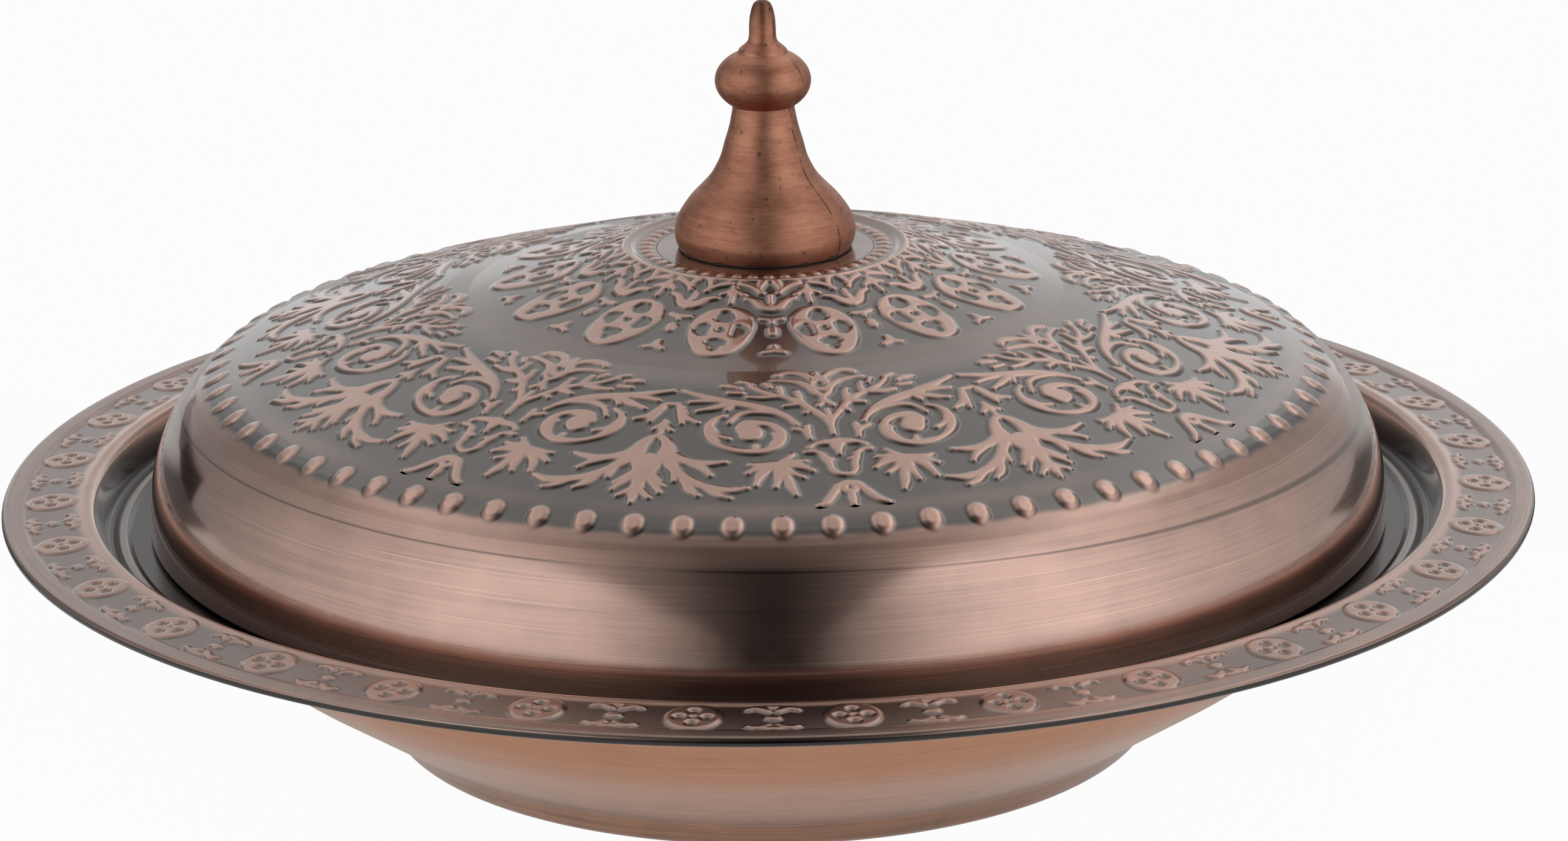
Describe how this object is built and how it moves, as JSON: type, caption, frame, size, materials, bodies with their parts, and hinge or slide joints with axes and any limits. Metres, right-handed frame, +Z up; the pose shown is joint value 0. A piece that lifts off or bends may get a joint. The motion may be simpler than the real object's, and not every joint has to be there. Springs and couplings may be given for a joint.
{
  "type": "lidded serving dish",
  "caption": "Round copper-finished serving dish with a flat ornamented rim, a domed embossed lid resting in its seat and a turned knob finial.",
  "frame": {"origin": "centre of the foot's underside, on the surface the dish stands on", "axes": "+Z up along the axis of the dish, the lid and the finial; the dish is round, so +X and +Y are free"},
  "size_m": [0.29, 0.29, 0.1401],
  "materials": {
    "dish_copper": "antiqued brushed copper under clear lacquer",
    "lid_copper": "antiqued brushed copper under clear lacquer",
    "finial_copper": "cast, lightly brushed copper plate",
    "gasket": "matt",
    "screw_steel": "zinc plated"
  },
  "bodies": {
    "dish_body": {"dish": "dish_copper"},
    "lid_body": {"lid": "lid_copper", "finial": "finial_copper", "finial_gasket": "gasket", "screw_washer": "screw_steel", "finial_screw": "screw_steel"}
  },
  "joints": [
    {"name": "lid_lift", "type": "slide", "parent": "dish_body", "child": "lid_body", "axis": [0, 0, 1], "range_m": [0, 0.09]}
  ]
}
